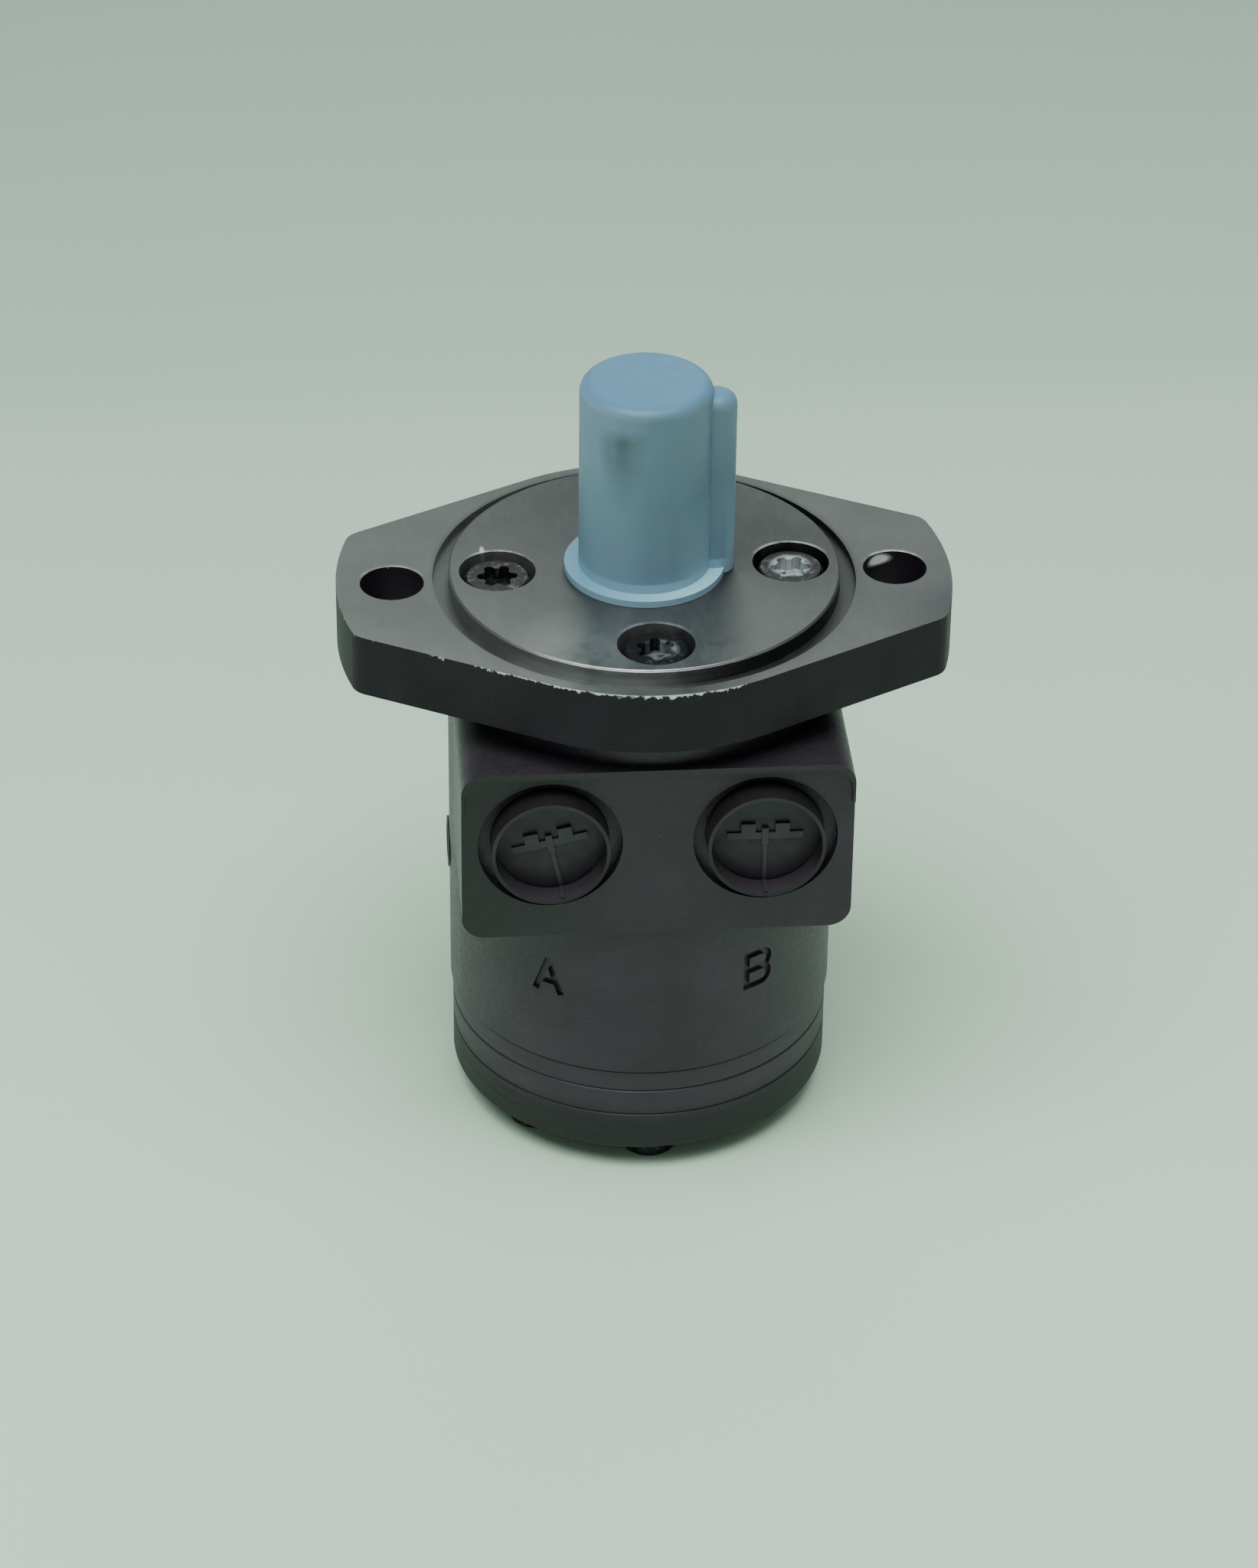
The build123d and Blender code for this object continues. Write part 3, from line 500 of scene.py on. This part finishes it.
def ground_steel():
    """Ground steel, with fine marks round the axis."""
    s = Shader("ground_steel")
    streak = s.noise(50, 5, 0.7, stretch=(1, 1, 60))
    colour = s.mix(s.spread(streak), *STEEL)
    return s.finish(colour, s.spread(streak, 0.22, 0.36), 1.0, s.bump(streak, 0.03 * MM, 0.5))


def nitrile():
    """Black rubber of the seals."""
    s = Shader("nitrile")
    colour = s.mix(s.spread(s.noise(400, 4, 0.6)), *RUBBER)
    rough = s.spread(s.noise(900, 3, 0.5), 0.45, 0.65)
    return s.finish(colour, rough, 0.0, s.bump(s.noise(1600), 0.04 * MM, 0.4))


def washer_copper():
    """Mottled copper of the seal washers."""
    s = Shader("washer_copper")
    colour = s.mix(s.spread(s.noise(350, 4, 0.6)), *COPPER)
    rough = s.spread(s.noise(800), 0.25, 0.42)
    return s.finish(colour, rough, 1.0, s.bump(s.noise(1300), 0.03 * MM, 0.5))


MATERIALS = {
    "painted_body": cast_paint(),
    "machined_flange": machined_flange(),
    "painted_plates": plate_paint(),
    "steel": ground_steel(),
    "black_steel": black_steel(),
    "rubber": nitrile(),
    "black_plastic": black_plastic(),
    "blue_plastic": blue_plastic(),
    "copper": washer_copper(),
}


# ---------------------------------------------------------------- smooth shading of the CAD nodes
def shading_group(sharp_angle):
    """Geometry nodes that weld a mesh and shade it smooth, but for its edges above sharp_angle."""
    group = bpy.data.node_groups.new("smooth_by_angle", "GeometryNodeTree")
    group.interface.new_socket("Geometry", in_out="INPUT", socket_type="NodeSocketGeometry")
    group.interface.new_socket("Geometry", in_out="OUTPUT", socket_type="NodeSocketGeometry")
    enter = group.nodes.new("NodeGroupInput")
    leave = group.nodes.new("NodeGroupOutput")
    weld = group.nodes.new("GeometryNodeMergeByDistance")
    weld.inputs["Distance"].default_value = 0.001 * MM
    faces = group.nodes.new("GeometryNodeSetShadeSmooth")
    faces.domain = "FACE"
    edges = group.nodes.new("GeometryNodeSetShadeSmooth")
    edges.domain = "EDGE"
    edge_angle = group.nodes.new("GeometryNodeInputMeshEdgeAngle")
    gentle = group.nodes.new("FunctionNodeCompare")
    gentle.operation = "LESS_THAN"
    gentle.inputs[1].default_value = sharp_angle
    group.links.new(enter.outputs[0], weld.inputs["Geometry"])
    group.links.new(weld.outputs[0], faces.inputs["Geometry"])
    group.links.new(faces.outputs[0], edges.inputs["Geometry"])
    group.links.new(edge_angle.outputs["Unsigned Angle"], gentle.inputs[0])
    group.links.new(gentle.outputs[0], edges.inputs["Shade Smooth"])
    group.links.new(edges.outputs[0], leave.inputs[0])
    return group


def dress_nodes():
    """Gives each CAD node its slot's material and smooth shading."""
    shading = shading_group(math.radians(32))
    slots = {entry["node"]: entry["material_slot"] for entry in frame["record"]["subparts"]}
    for name, node in nodes.items():
        mesh = node.data
        mesh.materials.clear()
        mesh.materials.append(MATERIALS[slots[name]])
        if mesh.has_custom_normals:
            # zeros hand the normals back to the smooth shading
            mesh.normals_split_custom_set([(0.0, 0.0, 0.0)] * len(mesh.loops))
        node.modifiers.new("shading", "NODES").node_group = shading


dress_nodes()


# ---------------------------------------------------------------- floor, light and camera
def floor_paper():
    """Pale green-grey paper, darker toward the back, with a brighter wall beyond the picture."""
    s = Shader("floor_paper")
    y = s.part_of(s.place, Y)
    cloud = s.spread(s.noise(3, 3, 0.5))
    # a long fade, then a soft step across the top of the picture
    depth = s.plus(s.ramp(y, -0.05, 0.60, 0.0, 0.85), s.ramp(y, 0.285, 0.315, 0.0, 0.15))
    colour = s.mix(depth, s.mix(cloud, *PAPER_NEAR), s.mix(cloud, *PAPER_FAR))
    colour = s.mix(s.ramp(y, 0.75, 1.1), colour, PAPER_WALL)
    rough = s.spread(s.noise(40), 0.75, 0.85)
    return s.finish(colour, rough, 0.0, s.bump(s.noise(300), 0.1 * MM, 0.2))


def curved_backdrop():
    """A floor that sweeps up into a wall behind the object."""
    half_width = 3.0
    front_y = -2.6
    wall_y = 1.5
    wall_height = 3.2
    bend_r = 0.9
    steps = 16
    profile = [(front_y, 0.0)]
    for k in range(steps + 1):
        turn = math.radians(90 * k / steps)
        profile.append((wall_y - bend_r + bend_r * math.sin(turn), bend_r - bend_r * math.cos(turn)))
    profile.append((wall_y, wall_height))
    verts = [(side * half_width, y, ground_z + z) for y, z in profile for side in (-1, 1)]
    faces = [(2 * k, 2 * k + 1, 2 * k + 3, 2 * k + 2) for k in range(len(profile) - 1)]
    mesh = bpy.data.meshes.new("floor")
    mesh.from_pydata(verts, [], faces)
    mesh.polygons.foreach_set("use_smooth", [True] * len(faces))
    mesh.materials.append(floor_paper())
    floor = bpy.data.objects.new("floor", mesh)
    bpy.context.scene.collection.objects.link(floor)


def area_light(name, place, size, watts, colour):
    """A rectangular lamp aimed at the middle of the motor."""
    middle = Vector((0, 0, -0.03))
    data = bpy.data.lights.new(name, "AREA")
    data.shape = "RECTANGLE"
    data.size, data.size_y = size
    data.energy = watts
    data.color = colour
    lamp = bpy.data.objects.new(name, data)
    bpy.context.scene.collection.objects.link(lamp)
    lamp.location = place
    lamp.rotation_euler = (middle - Vector(place)).to_track_quat("-Z", "Y").to_euler()


def studio_world():
    """Soft surroundings, brightest overhead and dimmer on the side the ports face."""
    world = bpy.data.worlds.new("studio")
    bpy.context.scene.world = world
    world.use_nodes = True
    tree = world.node_tree
    sky = tree.nodes["Background"]
    sky.inputs["Color"].default_value = (*SKY, 1.0)
    coord = tree.nodes.new("ShaderNodeTexCoord")
    parts = tree.nodes.new("ShaderNodeSeparateXYZ")
    tree.links.new(coord.outputs["Generated"], parts.inputs[0])
    total = tree.nodes.new("ShaderNodeMath")
    total.operation = "ADD"
    overhead = (Z, 0.1, 0.8, 0.14, 0.42)
    behind = (Y, -0.5, 0.5, 0.0, 0.16)
    for term, (axis, low, high, dim, bright) in enumerate((overhead, behind)):
        ramp = tree.nodes.new("ShaderNodeMapRange")
        ramp.inputs["From Min"].default_value = low
        ramp.inputs["From Max"].default_value = high
        ramp.inputs["To Min"].default_value = dim
        ramp.inputs["To Max"].default_value = bright
        tree.links.new(parts.outputs[axis], ramp.inputs["Value"])
        tree.links.new(ramp.outputs["Result"], total.inputs[term])
    tree.links.new(total.outputs[0], sky.inputs["Strength"])


def light_scene():
    """Two soft boxes overhead, a faint card behind and the surroundings."""
    area_light("key", (-0.34, -0.45, 1.30), (1.3, 0.9), 17.2, LAMP)
    area_light("top", (0.14, -0.30, 1.35), (1.1, 0.9), 11.5, LAMP)
    area_light("back_card", (0.30, 1.10, 0.85), (1.0, 0.6), 2.2, CARD)
    studio_world()


def place_camera():
    """Long lens above the ports' face and a little to its left."""
    data = bpy.data.cameras.new("camera")
    data.lens = 117.5
    data.sensor_width = 36.0
    data.clip_start = 0.05
    data.clip_end = 20.0
    camera = bpy.data.objects.new("camera", data)
    bpy.context.scene.collection.objects.link(camera)
    place = Vector((-0.07983, -0.92127, 0.55841))
    target = Vector((-0.00268, 0.0, -0.05262))
    roll = math.radians(0.679)
    back = (place - target).normalized()
    right = Vector((0, 0, 1)).cross(back).normalized()
    up = back.cross(right)
    level = Matrix((right, up, back)).transposed()
    camera.matrix_world = Matrix.Translation(place) @ (level @ Matrix.Rotation(roll, 3, "Z")).to_4x4()
    bpy.context.scene.camera = camera


curved_backdrop()
light_scene()
place_camera()
